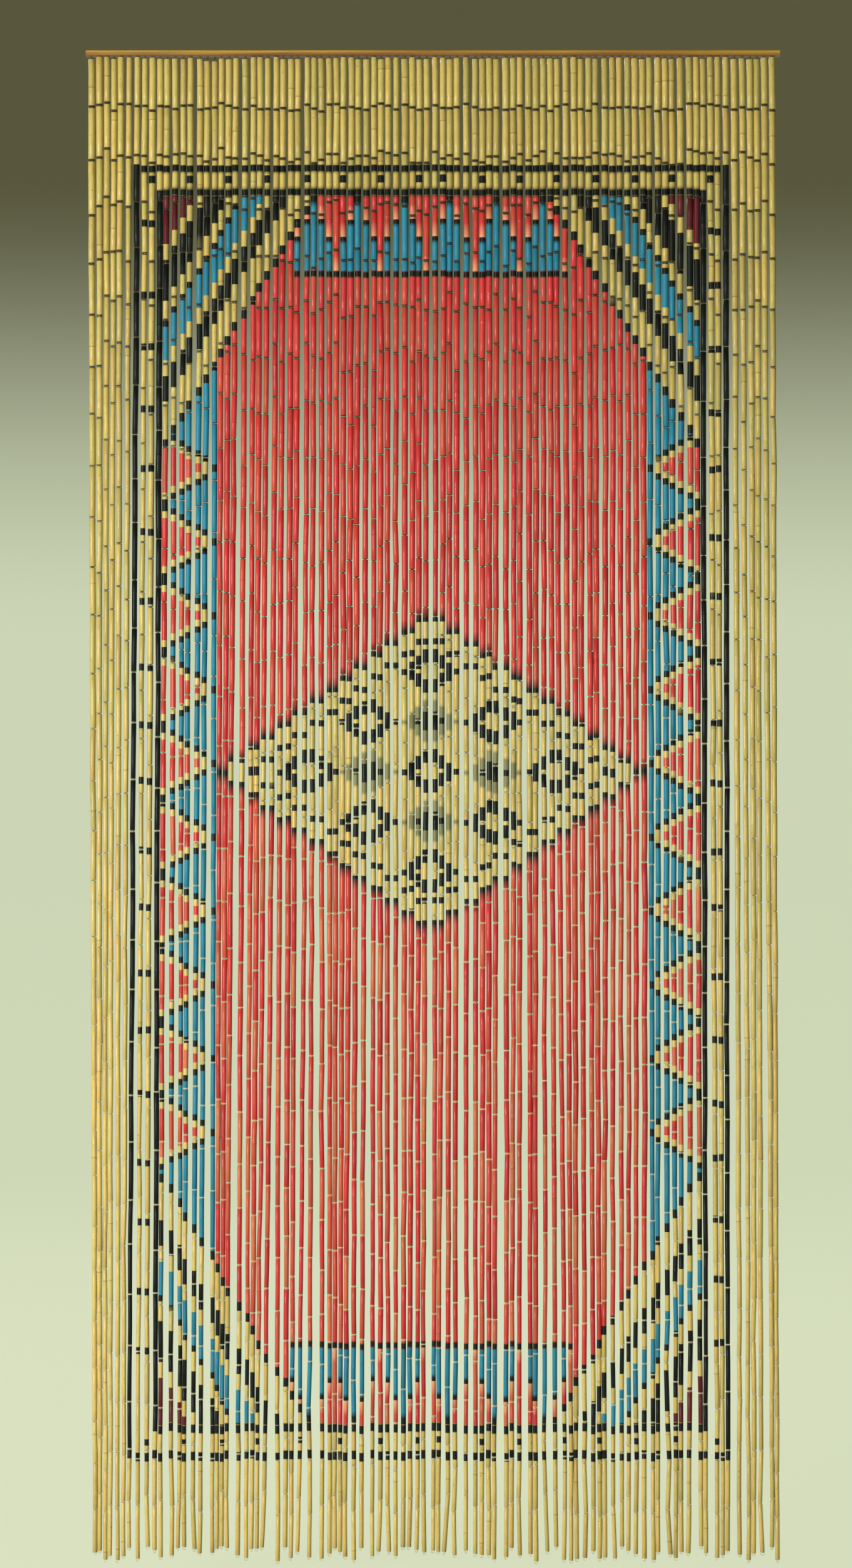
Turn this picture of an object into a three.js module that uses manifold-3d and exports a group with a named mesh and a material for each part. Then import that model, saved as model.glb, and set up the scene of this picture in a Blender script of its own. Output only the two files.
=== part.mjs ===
// Bamboo bead curtain on a wooden rail, in millimetres, +Z up.
// X runs along the rail, the painted side faces -Y, and the origin is the centre of the rail's top face.
// The curtain hangs freely below the rail: 90 strands, each of 30 bamboo tubes end to end.

import * as THREE from "three";
import { mergeVertices } from "three/addons/utils/BufferGeometryUtils.js";
import Module from "manifold-3d";

// Rail

const RAIL_LENGTH = 914;
const RAIL_DEPTH = 18;
const RAIL_HEIGHT = 7;
const RAIL_ARRIS = 0.8;

// Hanging line: the narrow strip under the rail that carries every strand's root

const SEAT_GAP = 0.3;
const HANGING_LINE_HEIGHT = 2.2;
const HANGING_LINE_DEPTH = 10;
const HANGING_LINE_END = 5;

// Strands

const STRANDS = 90;
const BEADS_TO_A_STRAND = 30;
const BEAD_PITCH = 65.7;
const BEADS_TOP = -9;
const FOOT_SCATTER = 10;
const DEPTH_SCATTER = 1.6;
const STRAND_CLEARANCE = 1;
const SQUARE_TO_ROUND = 0.93;

// How unevenly the strands are spaced, as a share of the mean gap. A bundle of gaps always adds up to even ones.

const BUNCHING = { top: 0.15, foot: 0.42 };
const BUNDLE = 6;

// Where some strands hang, at the top of the beads and at the foot, such as those beside the widest gaps.
// The others are spread between them.

const ROW_MARKS = [
  { strand: 1, topX: -450, footX: -445 },
  { strand: 7, topX: -389, footX: -401 },
  { strand: 10, topX: -359, footX: -367 },
  { strand: 16, topX: -297, footX: -307 },
  { strand: 17, topX: -287, footX: -291 },
  { strand: 20, topX: -259, footX: -273 },
  { strand: 21, topX: -247, footX: -257 },
  { strand: 30, topX: -156, footX: -163 },
  { strand: 31, topX: -147, footX: -146 },
  { strand: 37, topX: -87, footX: -94 },
  { strand: 38, topX: -77, footX: -80 },
  { strand: 49, topX: 32, footX: 29 },
  { strand: 50, topX: 44, footX: 44 },
  { strand: 54, topX: 84, footX: 81 },
  { strand: 55, topX: 96, footX: 97 },
  { strand: 57, topX: 115, footX: 114 },
  { strand: 58, topX: 126, footX: 129 },
  { strand: 81, topX: 356, footX: 360 },
  { strand: 84, topX: 386, footX: 389 },
  { strand: 90, topX: 447, footX: 454 },
];

// The tubes get slimmer downwards: the diameter from the given tube on

const BEAD_SIZES = [
  { bead: 0, diameter: 8.6 },
  { bead: 2, diameter: 8.4 },
  { bead: 5, diameter: 7.7 },
  { bead: 14, diameter: 7.0 },
  { bead: 22, diameter: 6.3 },
  { bead: 30, diameter: 5.7 },
];

// Last tubes that hang askew, as a share of the free gap beside them: negative leans towards -X

const ASKEW_LAST_BEADS = [
  { strand: 15, lean: 0.7 },
  { strand: 17, lean: 0.7 },
  { strand: 25, lean: -0.7 },
  { strand: 48, lean: -0.7 },
  { strand: 76, lean: 0.7 },
];
const USUAL_LEAN = 0.25;

// A strand's solid bends at these joints between its tubes, counted from the top

const BEND_JOINTS = [0, 3, 6, 9, 12, 15, 18, 21, 24, 27, 29, 30];

// Finishes

const RAIL_FINISH = new THREE.MeshStandardMaterial({ color: 0x8a5a24, roughness: 0.55, metalness: 0 });
const BAMBOO_FINISH = new THREE.MeshStandardMaterial({ color: 0xc9b565, roughness: 0.35, metalness: 0 });

// Small helpers

const mix = (from, to, share) => from + (to - from) * share;

// A repeatable value from 0 to 1 for a strand and a purpose
function chance(strand, purpose) {
  const wave = Math.sin(strand * 12.9898 + purpose * 78.233) * 43758.5453;
  return wave - Math.floor(wave);
}

// The tubes' diameter at a joint, straight between the rows of the table
function beadDiameter(joint) {
  const next = BEAD_SIZES.findIndex((row) => row.bead >= joint);
  if (next === 0) {
    return BEAD_SIZES[0].diameter;
  }
  const above = BEAD_SIZES[next - 1];
  const below = BEAD_SIZES[next];
  return mix(above.diameter, below.diameter, (joint - above.bead) / (below.bead - above.bead));
}

const strandWidth = (joint) => beadDiameter(joint) * SQUARE_TO_ROUND;

// The gaps across one bundle of strands, uneven but never too narrow for the strands
function unevenGaps(first, count, meanGap, joint) {
  if (count === 1) {
    return [meanGap];
  }
  const fall = joint / BEADS_TO_A_STRAND;
  const leanings = Array.from({ length: count }, (_, step) => {
    const draw = mix(chance(first + step, 1), chance(first + step, 2), fall);
    return 3 * draw * draw - 1;
  });
  const average = leanings.reduce((sum, value) => sum + value, 0) / count;
  const tightest = average - Math.min(...leanings);
  const room = 1 - (strandWidth(joint) + STRAND_CLEARANCE) / meanGap;
  const bunching = Math.min(mix(BUNCHING.top, BUNCHING.foot, fall), Math.max(room, 0) / tightest);
  return leanings.map((value) => meanGap * (1 + bunching * (value - average)));
}

// Every strand's X at a joint, from the first strand to the last
function rowAt(joint) {
  const fall = joint / BEADS_TO_A_STRAND;
  const row = [mix(ROW_MARKS[0].topX, ROW_MARKS[0].footX, fall)];
  for (let mark = 1; mark < ROW_MARKS.length; mark += 1) {
    const from = ROW_MARKS[mark - 1];
    const to = ROW_MARKS[mark];
    const count = to.strand - from.strand;
    const span = mix(to.topX, to.footX, fall) - mix(from.topX, from.footX, fall);
    for (let first = from.strand; first < to.strand; first += BUNDLE) {
      const gaps = unevenGaps(first, Math.min(BUNDLE, to.strand - first), span / count, joint);
      gaps.forEach((gap) => row.push(row[row.length - 1] + gap));
    }
  }
  return row;
}

// How far a strand's foot swings aside, within the free gap on that side
function footSwing(strand, row) {
  const askew = ASKEW_LAST_BEADS.find((entry) => entry.strand === strand);
  const lean = askew ? askew.lean : (2 * chance(strand, 4) - 1) * USUAL_LEAN;
  const neighbour = row[strand - 1 + Math.sign(lean)];
  if (neighbour === undefined) {
    return 0;
  }
  const free = Math.abs(neighbour - row[strand - 1]) - strandWidth(BEADS_TO_A_STRAND) - STRAND_CLEARANCE;
  return lean * Math.max(free, 0);
}

// A strand's depth below the top of its beads at a joint, with an uneven foot
function strandDepth(strand, joint) {
  const foot = (2 * chance(strand, 3) - 1) * FOOT_SCATTER * (joint / BEADS_TO_A_STRAND);
  return joint * BEAD_PITCH + foot;
}

// Solids

// A closed four-sided bar through square sections, listed from the top down
function squareBar(sections) {
  const corners = [[-1, -1], [1, -1], [1, 1], [-1, 1]];
  const positions = [];
  for (const { x, y, z, width } of sections) {
    for (const [alongX, alongY] of corners) {
      positions.push(x + (alongX * width) / 2, y + (alongY * width) / 2, z);
    }
  }
  const faces = [0, 1, 2, 0, 2, 3];
  for (let ring = 0; ring < sections.length - 1; ring += 1) {
    for (let side = 0; side < 4; side += 1) {
      const a = ring * 4 + side;
      const b = ring * 4 + ((side + 1) % 4);
      faces.push(a, a + 4, b, b, a + 4, b + 4);
    }
  }
  const last = (sections.length - 1) * 4;
  faces.push(last, last + 2, last + 1, last, last + 3, last + 2);
  const bar = new THREE.BufferGeometry();
  bar.setAttribute("position", new THREE.Float32BufferAttribute(positions, 3));
  bar.setIndex(faces);
  return bar;
}

function railGeometry() {
  const halfDepth = RAIL_DEPTH / 2;
  const outline = new THREE.Shape();
  outline.moveTo(-halfDepth + RAIL_ARRIS, 0);
  outline.lineTo(-halfDepth, -RAIL_ARRIS);
  outline.lineTo(-halfDepth, -RAIL_HEIGHT + RAIL_ARRIS);
  outline.lineTo(-halfDepth + RAIL_ARRIS, -RAIL_HEIGHT);
  outline.lineTo(halfDepth - RAIL_ARRIS, -RAIL_HEIGHT);
  outline.lineTo(halfDepth, -RAIL_HEIGHT + RAIL_ARRIS);
  outline.lineTo(halfDepth, -RAIL_ARRIS);
  outline.lineTo(halfDepth - RAIL_ARRIS, 0);
  outline.closePath();
  const rail = new THREE.ExtrudeGeometry(outline, { depth: RAIL_LENGTH, bevelEnabled: false });
  rail.translate(0, 0, -RAIL_LENGTH / 2);
  const alongX = new THREE.Matrix4().makeBasis(
    new THREE.Vector3(0, 1, 0),
    new THREE.Vector3(0, 0, 1),
    new THREE.Vector3(1, 0, 0),
  );
  rail.applyMatrix4(alongX);
  return rail;
}

const HANGING_LINE_TOP = -RAIL_HEIGHT - SEAT_GAP;

function hangingLineGeometry(row) {
  const from = row[0] - HANGING_LINE_END;
  const to = row[row.length - 1] + HANGING_LINE_END;
  const line = new THREE.BoxGeometry(to - from, HANGING_LINE_DEPTH, HANGING_LINE_HEIGHT);
  line.translate((from + to) / 2, 0, HANGING_LINE_TOP - HANGING_LINE_HEIGHT / 2);
  return line;
}

function strandGeometry(strand, rows) {
  const root = {
    x: rows.get(0)[strand - 1],
    y: 0,
    z: HANGING_LINE_TOP - HANGING_LINE_HEIGHT / 2,
    width: strandWidth(0),
  };
  const sections = BEND_JOINTS.slice(1).map((joint) => {
    const row = rows.get(joint);
    const swing = joint === BEADS_TO_A_STRAND ? footSwing(strand, row) : 0;
    return {
      x: row[strand - 1] + swing,
      y: ((2 * chance(strand, 5) - 1) * DEPTH_SCATTER * joint) / BEADS_TO_A_STRAND,
      z: BEADS_TOP - strandDepth(strand, joint),
      width: strandWidth(joint),
    };
  });
  return squareBar([root, ...sections]);
}

// Joining

const manifoldLibrary = await Module();
manifoldLibrary.setup();

function toSolid(geometry) {
  const bare = geometry.clone();
  bare.deleteAttribute("normal");
  bare.deleteAttribute("uv");
  const merged = mergeVertices(bare, 1e-4);
  return new manifoldLibrary.Manifold(
    new manifoldLibrary.Mesh({
      numProp: 3,
      vertProperties: new Float32Array(merged.attributes.position.array),
      triVerts: new Uint32Array(merged.index.array),
    }),
  );
}

function toGeometry(solid) {
  const { vertProperties, triVerts } = solid.getMesh();
  const geometry = new THREE.BufferGeometry();
  geometry.setAttribute("position", new THREE.Float32BufferAttribute(vertProperties, 3));
  geometry.setIndex(Array.from(triVerts));
  return geometry;
}

function strandsGeometry() {
  const rows = new Map(BEND_JOINTS.map((joint) => [joint, rowAt(joint)]));
  let curtain = toSolid(hangingLineGeometry(rows.get(0)));
  for (let strand = 1; strand <= STRANDS; strand += 1) {
    curtain = curtain.add(toSolid(strandGeometry(strand, rows)));
  }
  return toGeometry(curtain);
}

// The object

function namedMesh(name, geometry, finish) {
  const mesh = new THREE.Mesh(geometry, finish);
  mesh.name = name;
  return mesh;
}

const curtain = new THREE.Group();
curtain.add(namedMesh("rail", railGeometry(), RAIL_FINISH));
curtain.add(namedMesh("strands", strandsGeometry(), BAMBOO_FINISH));

export default curtain;
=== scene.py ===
"""Dresses a bamboo bead curtain: painted tubes on wire links, a stained rail, a floor, lights and a camera.

The curtain's lengths are in millimetres and are scaled to metres where a mesh is made. The finishes and the
studio are in metres. X runs along the rail, the painted side faces -Y, and depths are measured down from the
rail's top face, which is at Z = 0.
"""

import logging
import math
from collections.abc import Iterable, Sequence
from dataclasses import dataclass, field
from enum import Enum, IntEnum

import bpy
import numpy as np
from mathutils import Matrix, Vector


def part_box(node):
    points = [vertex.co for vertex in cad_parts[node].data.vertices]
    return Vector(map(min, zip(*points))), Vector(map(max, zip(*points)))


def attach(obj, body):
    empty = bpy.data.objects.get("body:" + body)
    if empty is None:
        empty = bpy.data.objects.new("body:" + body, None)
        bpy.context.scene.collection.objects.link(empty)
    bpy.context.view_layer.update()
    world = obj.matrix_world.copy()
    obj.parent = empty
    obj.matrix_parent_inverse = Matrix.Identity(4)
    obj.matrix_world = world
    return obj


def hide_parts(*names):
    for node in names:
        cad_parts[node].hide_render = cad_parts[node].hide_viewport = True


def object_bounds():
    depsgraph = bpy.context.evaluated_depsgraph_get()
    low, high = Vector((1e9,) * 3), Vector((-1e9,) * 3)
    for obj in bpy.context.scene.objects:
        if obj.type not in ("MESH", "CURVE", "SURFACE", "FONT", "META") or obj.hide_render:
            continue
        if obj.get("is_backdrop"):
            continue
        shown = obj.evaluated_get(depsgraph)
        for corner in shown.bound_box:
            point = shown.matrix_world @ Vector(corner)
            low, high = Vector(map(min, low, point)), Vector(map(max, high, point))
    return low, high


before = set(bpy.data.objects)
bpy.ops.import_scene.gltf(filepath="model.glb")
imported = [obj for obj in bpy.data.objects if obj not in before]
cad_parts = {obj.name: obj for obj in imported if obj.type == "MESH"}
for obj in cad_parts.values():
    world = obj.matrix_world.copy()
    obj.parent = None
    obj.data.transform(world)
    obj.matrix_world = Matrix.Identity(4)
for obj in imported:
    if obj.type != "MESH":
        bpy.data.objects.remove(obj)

CAD_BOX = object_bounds()
MM = 0.001
LOG = logging.getLogger("bead_curtain")

Place = tuple[float, float, float]
Colour = tuple[float, float, float]
Span = tuple[float, float]
Cell = tuple[float, float, float, float]


# Small helpers


class Draw(IntEnum):
    """What a repeatable chance is drawn for.

    Tick rows, tube lengths and ticks take up the numbers that follow theirs too.
    """

    GAP_AT_TOP = 1
    GAP_AT_FOOT = 2
    FOOT_HEIGHT = 3
    FOOT_SWING = 4
    DEPTH = 5
    DROP_AT_RAIL = 6
    PAINT_SLIP = 7
    TICK_ROW = 8
    TUBE_LENGTH = 20
    KINK = 50
    KINK_SIZE = 51
    KINK_DEPTH = 52
    STRAND_GIRTH = 53
    TUBE_GIRTH = 54
    HAS_RIDGE = 55
    RIDGE_HEIGHT = 56
    TAPER = 57
    BOW_HEADING = 58
    BOW_SIZE = 59
    OVAL_X = 60
    OVAL_Y = 61
    WARMTH = 62
    VALUE = 63
    GRAIN = 64
    LINK_TURN = 70
    HANGING_LOOP_TURN = 71
    FOOT_LOOP_TURN = 72
    LINK_SIZE = 73
    LINK_TIP = 74
    TICK = 60


def mix(start: float, end: float, share: "float | Link") -> "float | Link":
    """Returns the value that lies the given share of the way from start to end."""
    return start + (end - start) * share


KEY_STEP = 12.9898
PURPOSE_STEP = 78.233
WAVE_HEIGHT = 43758.5453


def chance(key: int, purpose: int) -> float:
    """Returns a repeatable value from 0 to 1 for a strand or a joint and a purpose."""
    wave = math.sin(key * KEY_STEP + purpose * PURPOSE_STEP) * WAVE_HEIGHT
    return wave - math.floor(wave)


def spread(key: int, purpose: int) -> float:
    """Returns a repeatable value from -1 to 1 for a strand or a joint and a purpose."""
    return 2 * chance(key, purpose) - 1


KEYS_TO_A_STRAND = 31


def joint_key(strand: int, joint: int) -> int:
    """Returns a number that no other joint has, and no other tube, for repeatable chances."""
    return strand * KEYS_TO_A_STRAND + joint


def linear(hex_colour: str) -> Colour:
    """Turns a colour as seen on a screen into the linear values that a shader takes.

    Args:
        hex_colour: Six hexadecimal digits, two each for red, green and blue.

    Returns:
        The linear red, green and blue.
    """
    darkest, slope, lift, power = 0.04045, 12.92, 0.055, 2.4
    shown = [int(hex_colour[place : place + 2], 16) / 255 for place in (0, 2, 4)]
    red, green, blue = (v / slope if v <= darkest else ((v + lift) / (1 + lift)) ** power for v in shown)
    return red, green, blue


# How the strands hang


@dataclass(frozen=True)
class StrandRow:
    """Where each strand hangs, by the same rules as the curtain's solids.

    The marks give a few strands' X at the top and at the foot. The others are spread between them in
    bundles, whose gaps are uneven but add up to even ones. The sizes give the tubes' diameter from a tube
    on. Askew lists the strands whose feet swing well aside, and by what share of the free gap.
    """

    strands: int = 90
    beads: int = 30
    bead_pitch: float = 65.7
    beads_top: float = 9.0
    foot_scatter: float = 10.0
    depth_scatter: float = 1.6
    clearance: float = 1.0
    square_to_round: float = 0.93
    bunching_top: float = 0.15
    bunching_foot: float = 0.42
    bundle: int = 6
    usual_lean: float = 0.25
    marks: tuple[tuple[int, float, float], ...] = (
        (1, -450, -445),
        (7, -389, -401),
        (10, -359, -367),
        (16, -297, -307),
        (17, -287, -291),
        (20, -259, -273),
        (21, -247, -257),
        (30, -156, -163),
        (31, -147, -146),
        (37, -87, -94),
        (38, -77, -80),
        (49, 32, 29),
        (50, 44, 44),
        (54, 84, 81),
        (55, 96, 97),
        (57, 115, 114),
        (58, 126, 129),
        (81, 356, 360),
        (84, 386, 389),
        (90, 447, 454),
    )
    sizes: tuple[tuple[int, float], ...] = ((0, 8.6), (2, 8.4), (5, 7.7), (14, 7.0), (22, 6.3), (30, 5.7))
    askew: tuple[tuple[int, float], ...] = ((15, 0.7), (17, 0.7), (25, -0.7), (48, -0.7), (76, 0.7))

    def diameter(self, joint: float) -> float:
        """Returns the tubes' diameter at a joint, straight between the rows of sizes."""
        return float(np.interp(joint, [row[0] for row in self.sizes], [row[1] for row in self.sizes]))

    def width(self, joint: float) -> float:
        """Returns the width that a strand's solid has at a joint."""
        return self.diameter(joint) * self.square_to_round

    def gaps(self, first: int, count: int, mean: float, joint: int) -> list[float]:
        """Works out the uneven gaps across one bundle of strands.

        Args:
            first: The strand that the bundle starts at.
            count: How many gaps it has.
            mean: The mean gap.
            joint: The joint, counted from the top, at which the row is wanted.

        Returns:
            The gaps from left to right.
        """
        if count == 1:
            return [mean]
        fall = joint / self.beads
        strands = range(first, first + count)
        draws = [mix(chance(at, Draw.GAP_AT_TOP), chance(at, Draw.GAP_AT_FOOT), fall) for at in strands]
        leanings = [3 * draw * draw - 1 for draw in draws]
        average = sum(leanings) / count
        tightest = average - min(leanings)
        room = max(1 - (self.width(joint) + self.clearance) / mean, 0)
        bunching = min(mix(self.bunching_top, self.bunching_foot, fall), room / tightest)
        return [mean * (1 + bunching * (leaning - average)) for leaning in leanings]

    def row(self, joint: int) -> list[float]:
        """Returns every strand's X at a joint, from the first strand to the last."""
        fall = joint / self.beads
        places = [mix(self.marks[0][1], self.marks[0][2], fall)]
        for (start, start_top, start_foot), (end, end_top, end_foot) in zip(self.marks, self.marks[1:]):
            mean = (mix(end_top, end_foot, fall) - mix(start_top, start_foot, fall)) / (end - start)
            for first in range(start, end, self.bundle):
                for gap in self.gaps(first, min(self.bundle, end - first), mean, joint):
                    places.append(places[-1] + gap)
        return places

    def swing(self, strand: int, row: Sequence[float]) -> float:
        """Returns how far a strand's foot swings aside, within the free gap on that side."""
        lean = dict(self.askew).get(strand, spread(strand, Draw.FOOT_SWING) * self.usual_lean)
        beside = strand - 1 + (1 if lean > 0 else -1)
        if not 0 <= beside < self.strands:
            return 0.0
        free = abs(row[beside] - row[strand - 1]) - self.width(self.beads) - self.clearance
        return lean * max(free, 0)

    def foot(self, strand: int) -> float:
        """Returns how much lower than the mean a strand's foot hangs."""
        return spread(strand, Draw.FOOT_HEIGHT) * self.foot_scatter


@dataclass(frozen=True)
class Tube:
    """One bamboo tube: where its two ends are, how thick it is and what sets its cane apart."""

    strand: int
    number: int
    top: Place
    foot: Place
    radius: float

    @property
    def length(self) -> float:
        """Returns the tube's height from end to end."""
        return self.top[2] - self.foot[2]

    @property
    def key(self) -> int:
        """Returns a number that no other tube has, for repeatable chances."""
        return joint_key(self.strand, self.number)


@dataclass
class Stringing:
    """Threads the tubes on their strands: uneven lengths, small gaps for the links and a slight zigzag.

    Lengths and depths scatter less in the first few tubes, and the low strands start further below the
    rail. Most joints have a small kink and a few a large one, the fewer the higher kink_sharpness is. The
    largest are near the foot, and the nearer the higher foot_sharpness is.
    """

    row: StrandRow = field(default_factory=StrandRow)
    length_scatter: Span = (0.075, 0.17)
    length_scatter_from: int = 5
    gap_top: float = 0.85
    gap_foot: float = 1.1
    highest: float = 7.6
    drop_at_rail: float = 3.6
    low_strands: tuple[tuple[int, float], ...] = ((16, 5.9), (17, 6.2))
    zigzag: float = 0.35
    zigzag_at_most: float = 1.6
    zigzag_at_foot: float = 2.6
    foot_sharpness: int = 6
    kink_sharpness: int = 5
    zigzag_depth: float = 0.6
    zigzag_depth_from: int = 4
    strand_scatter: float = 0.09
    tube_scatter: float = 0.05
    least_gap: float = 0.1

    def __post_init__(self) -> None:
        """Works out the place of every joint of every strand once."""
        self.rows = [self.row.row(joint) for joint in range(self.row.beads + 1)]
        self.places = {strand: self.joints(strand) for strand in range(1, self.row.strands + 1)}

    def joint_depths(self, strand: int) -> list[float]:
        """Returns the depth of every joint of a strand, from its first tube's top to its foot."""
        beads = self.row.beads
        drop = chance(strand, Draw.DROP_AT_RAIL) * self.drop_at_rail
        start = self.highest + dict(self.low_strands).get(strand, drop)
        end = self.row.beads_top + beads * self.row.bead_pitch + self.row.foot(strand)
        lengths = []
        for bead in range(beads):
            scatter = mix(*self.length_scatter, min(bead / self.length_scatter_from, 1))
            lengths.append(1 + scatter * spread(strand, Draw.TUBE_LENGTH + bead))
        scale = (end - start) / sum(lengths)
        depths = [start]
        for length in lengths:
            depths.append(depths[-1] + length * scale)
        return depths

    def joints(self, strand: int) -> list[Place]:
        """Returns the place of every joint of a strand, most of them a little out of line and a few more."""
        beads = self.row.beads
        places = []
        for joint, depth in enumerate(self.joint_depths(strand)):
            key = joint_key(strand, joint)
            x = self.rows[joint][strand - 1]
            if joint == beads:
                x += self.row.swing(strand, self.rows[joint])
            if joint > 0:
                at_most = self.zigzag_at_most + self.zigzag_at_foot * (joint / beads) ** self.foot_sharpness
                kink = mix(self.zigzag, at_most, chance(key, Draw.KINK_SIZE) ** self.kink_sharpness)
                x += spread(key, Draw.KINK) * min(kink, self.free(strand, joint))
            y = spread(strand, Draw.DEPTH) * self.row.depth_scatter * joint / beads
            y += spread(key, Draw.KINK_DEPTH) * self.zigzag_depth * min(joint / self.zigzag_depth_from, 1)
            places.append((x, y, -depth))
        return places

    def free(self, strand: int, joint: int) -> float:
        """Returns how far a strand can move aside at a joint before it comes close to a neighbour."""
        row = self.rows[joint]
        beside = [near for near in (strand - 1, strand + 1) if 0 < near <= self.row.strands]
        nearest = min(abs(row[near - 1] - row[strand - 1]) for near in beside)
        return max((nearest - self.row.diameter(joint)) / 2, 0) + self.zigzag

    def room(self, strand: int, joint: int) -> float:
        """Returns the largest radius that a strand's tubes can have at a joint beside its neighbours."""
        x, y, _ = self.places[strand][joint]
        beside = [self.places[near][joint] for near in (strand - 1, strand + 1) if near in self.places]
        return min(math.hypot(x - near[0], y - near[1]) for near in beside) / 2 - self.least_gap / 2

    def tubes(self, strand: int) -> list[Tube]:
        """Returns the tubes of a strand from the top down."""
        places = self.places[strand]
        beads = self.row.beads
        strand_girth = 1 + spread(strand, Draw.STRAND_GIRTH) * self.strand_scatter
        tubes = []
        for number in range(beads):
            gap = mix(self.gap_top, self.gap_foot, number / beads) / 2
            top, foot = places[number], places[number + 1]
            top = (top[0], top[1], top[2] - (gap if number else 0.0))
            foot = (foot[0], foot[1], foot[2] + (gap if number < beads - 1 else 0.0))
            girth = strand_girth + spread(joint_key(strand, number), Draw.TUBE_GIRTH) * self.tube_scatter
            wanted = self.row.diameter(number) / 2 * girth
            radius = min(wanted, self.room(strand, number), self.room(strand, number + 1))
            tubes.append(Tube(strand, number, top, foot, radius))
        return tubes


# The painted design


class Paint(Enum):
    """A colour from the painter's tray, with how well it covers the cane. BARE leaves the cane as it is."""

    BARE = ("C9B565", 0.0)
    RED = ("C0242F", 1.0)
    SALMON = ("DC8A6A", 0.95)
    BLUE = ("247A94", 1.0)
    BLACK = ("090F0E", 1.0)
    MAROON = ("561220", 1.0)
    SMOKE = ("30504A", 0.66)

    @property
    def rgba(self) -> np.ndarray:
        """Returns the linear colour and the cover as four numbers."""
        return np.array([*linear(self.value[0]), self.value[1]])


# The length over which a crisp edge of paint fades

CRISP = 0.7


@dataclass(frozen=True)
class Stripe:
    """One length of paint on a strand, between two depths, with the length over which each edge fades."""

    top: float
    foot: float
    paint: Paint
    fade_top: float = CRISP
    fade_foot: float = CRISP

    def share(self, depths: np.ndarray) -> np.ndarray:
        """Returns how much of the stripe's paint lies at each depth, from 0 to 1."""
        into = (depths - self.top) / self.fade_top + 0.5
        out_of = (self.foot - depths) / self.fade_foot + 0.5
        return np.clip(np.minimum(into, out_of), 0, 1)

    def edges(self) -> tuple[float, float, float, float]:
        """Returns the depths at which the stripe's fades start and end."""
        half_top, half_foot = self.fade_top / 2, self.fade_foot / 2
        return self.top - half_top, self.top + half_top, self.foot - half_foot, self.foot + half_foot


@dataclass
class PaintedStrand:
    """The stripes of one strand in the order of painting: a later one covers an earlier one."""

    stripes: list[Stripe] = field(default_factory=list)

    def edges(self) -> np.ndarray:
        """Returns every depth at which the colour starts or stops changing."""
        places = sorted(edge for stripe in self.stripes for edge in stripe.edges())
        return np.array(places)

    def colours(self, depths: np.ndarray) -> np.ndarray:
        """Returns the colour and cover at each depth, one row of four numbers each."""
        result = np.tile(Paint.BARE.rgba, (len(depths), 1))
        for stripe in self.stripes:
            share = stripe.share(depths)[:, None]
            result = result * (1 - share) + stripe.paint.rgba * share
        return result


@dataclass(frozen=True)
class Medallion:
    """A stepped medallion: its middle, half width in strands, half height, step and rings from outside in.

    Each ring has its size as a share of the whole, its paint and the length over which its edges fade. The
    medallion's flanks rise in steps of one strand or of several.
    """

    strand: float
    depth: float
    half_strands: float
    half_height: float
    step: int
    rings: tuple[tuple[float, Paint, float], ...]

    def half(self, strand: int, size: float) -> float:
        """Returns a ring's half height on a strand, or 0 where it doesn't reach that strand."""
        stepped = self.step * (math.floor(abs(strand - self.strand) / self.step) + 0.5)
        return self.half_height * max(size - stepped / self.half_strands, 0)


@dataclass(frozen=True)
class Corner:
    """A corner ornament of bands along a stepped diagonal, listed by size from outside in."""

    strands: int = 20
    height: float = 340
    bands: tuple[tuple[float, Paint], ...] = (
        (1.0, Paint.BLACK),
        (0.965, Paint.BARE),
        (0.82, Paint.BLACK),
        (0.72, Paint.BARE),
        (0.66, Paint.BLUE),
        (0.53, Paint.BLACK),
        (0.505, Paint.BARE),
        (0.43, Paint.BLACK),
        (0.27, Paint.BARE),
        (0.21, Paint.MAROON),
    )

    def reach(self, inwards: int, size: float) -> float:
        """Returns how far down a band reaches on a strand counted in from the side border's first."""
        return self.height * max(size - (inwards + 0.5) / self.strands, 0)


OUTER_RINGS = (
    (1.01, Paint.BLACK, 15),
    (0.95, Paint.BARE, CRISP),
    (0.85, Paint.BLACK, CRISP),
    (0.81, Paint.BARE, CRISP),
)
DARK_RINGS = (
    (1.0, Paint.BLACK, CRISP),
    (0.45, Paint.BARE, CRISP),
)
SMOKY_RINGS = (
    (1.0, Paint.SMOKE, 6),
    (0.5, Paint.BLACK, CRISP),
)


@dataclass(frozen=True)
class EndBorder:
    """The border of red teeth over blue at the head and the foot of the field.

    The tips say how far down the red reaches, from a strand between two teeth to a tooth's middle strand.
    The red fades into salmon towards its tip, which is edged in black.
    """

    first: int = 28
    foot: float = 290
    line: float = 8.5
    line_fade: float = 2.5
    tips: tuple[float, float, float, float] = (0, 31, 54, 99)
    edge: float = 7.5
    edge_fade: float = 5
    root_edge: float = 12
    root_fade: float = 8
    salmon: float = 10
    salmon_fade: float = 18


@dataclass(frozen=True)
class SideBorder:
    """The border of red teeth that point inwards, edged in bare cane and black, over blue."""

    first: int = 11
    last: int = 17
    teeth: int = 10
    first_tooth: float = 549
    pitch: float = 97.2
    half: float = 32
    narrowing: float = 6.5
    bare_edge: float = 8.5
    black_edge: float = 17
    tip_half: float = 5


@dataclass(frozen=True)
class Ticks:
    """The black ticks down the strands inside the outer frame line, a little uneven as hand work is."""

    strands: tuple[int, int] = (8, 9)
    count: int = 19
    first: float = 230
    pitch: float = 82
    scatter: float = 9
    half: float = 5
    fade: float = 1.5


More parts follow.
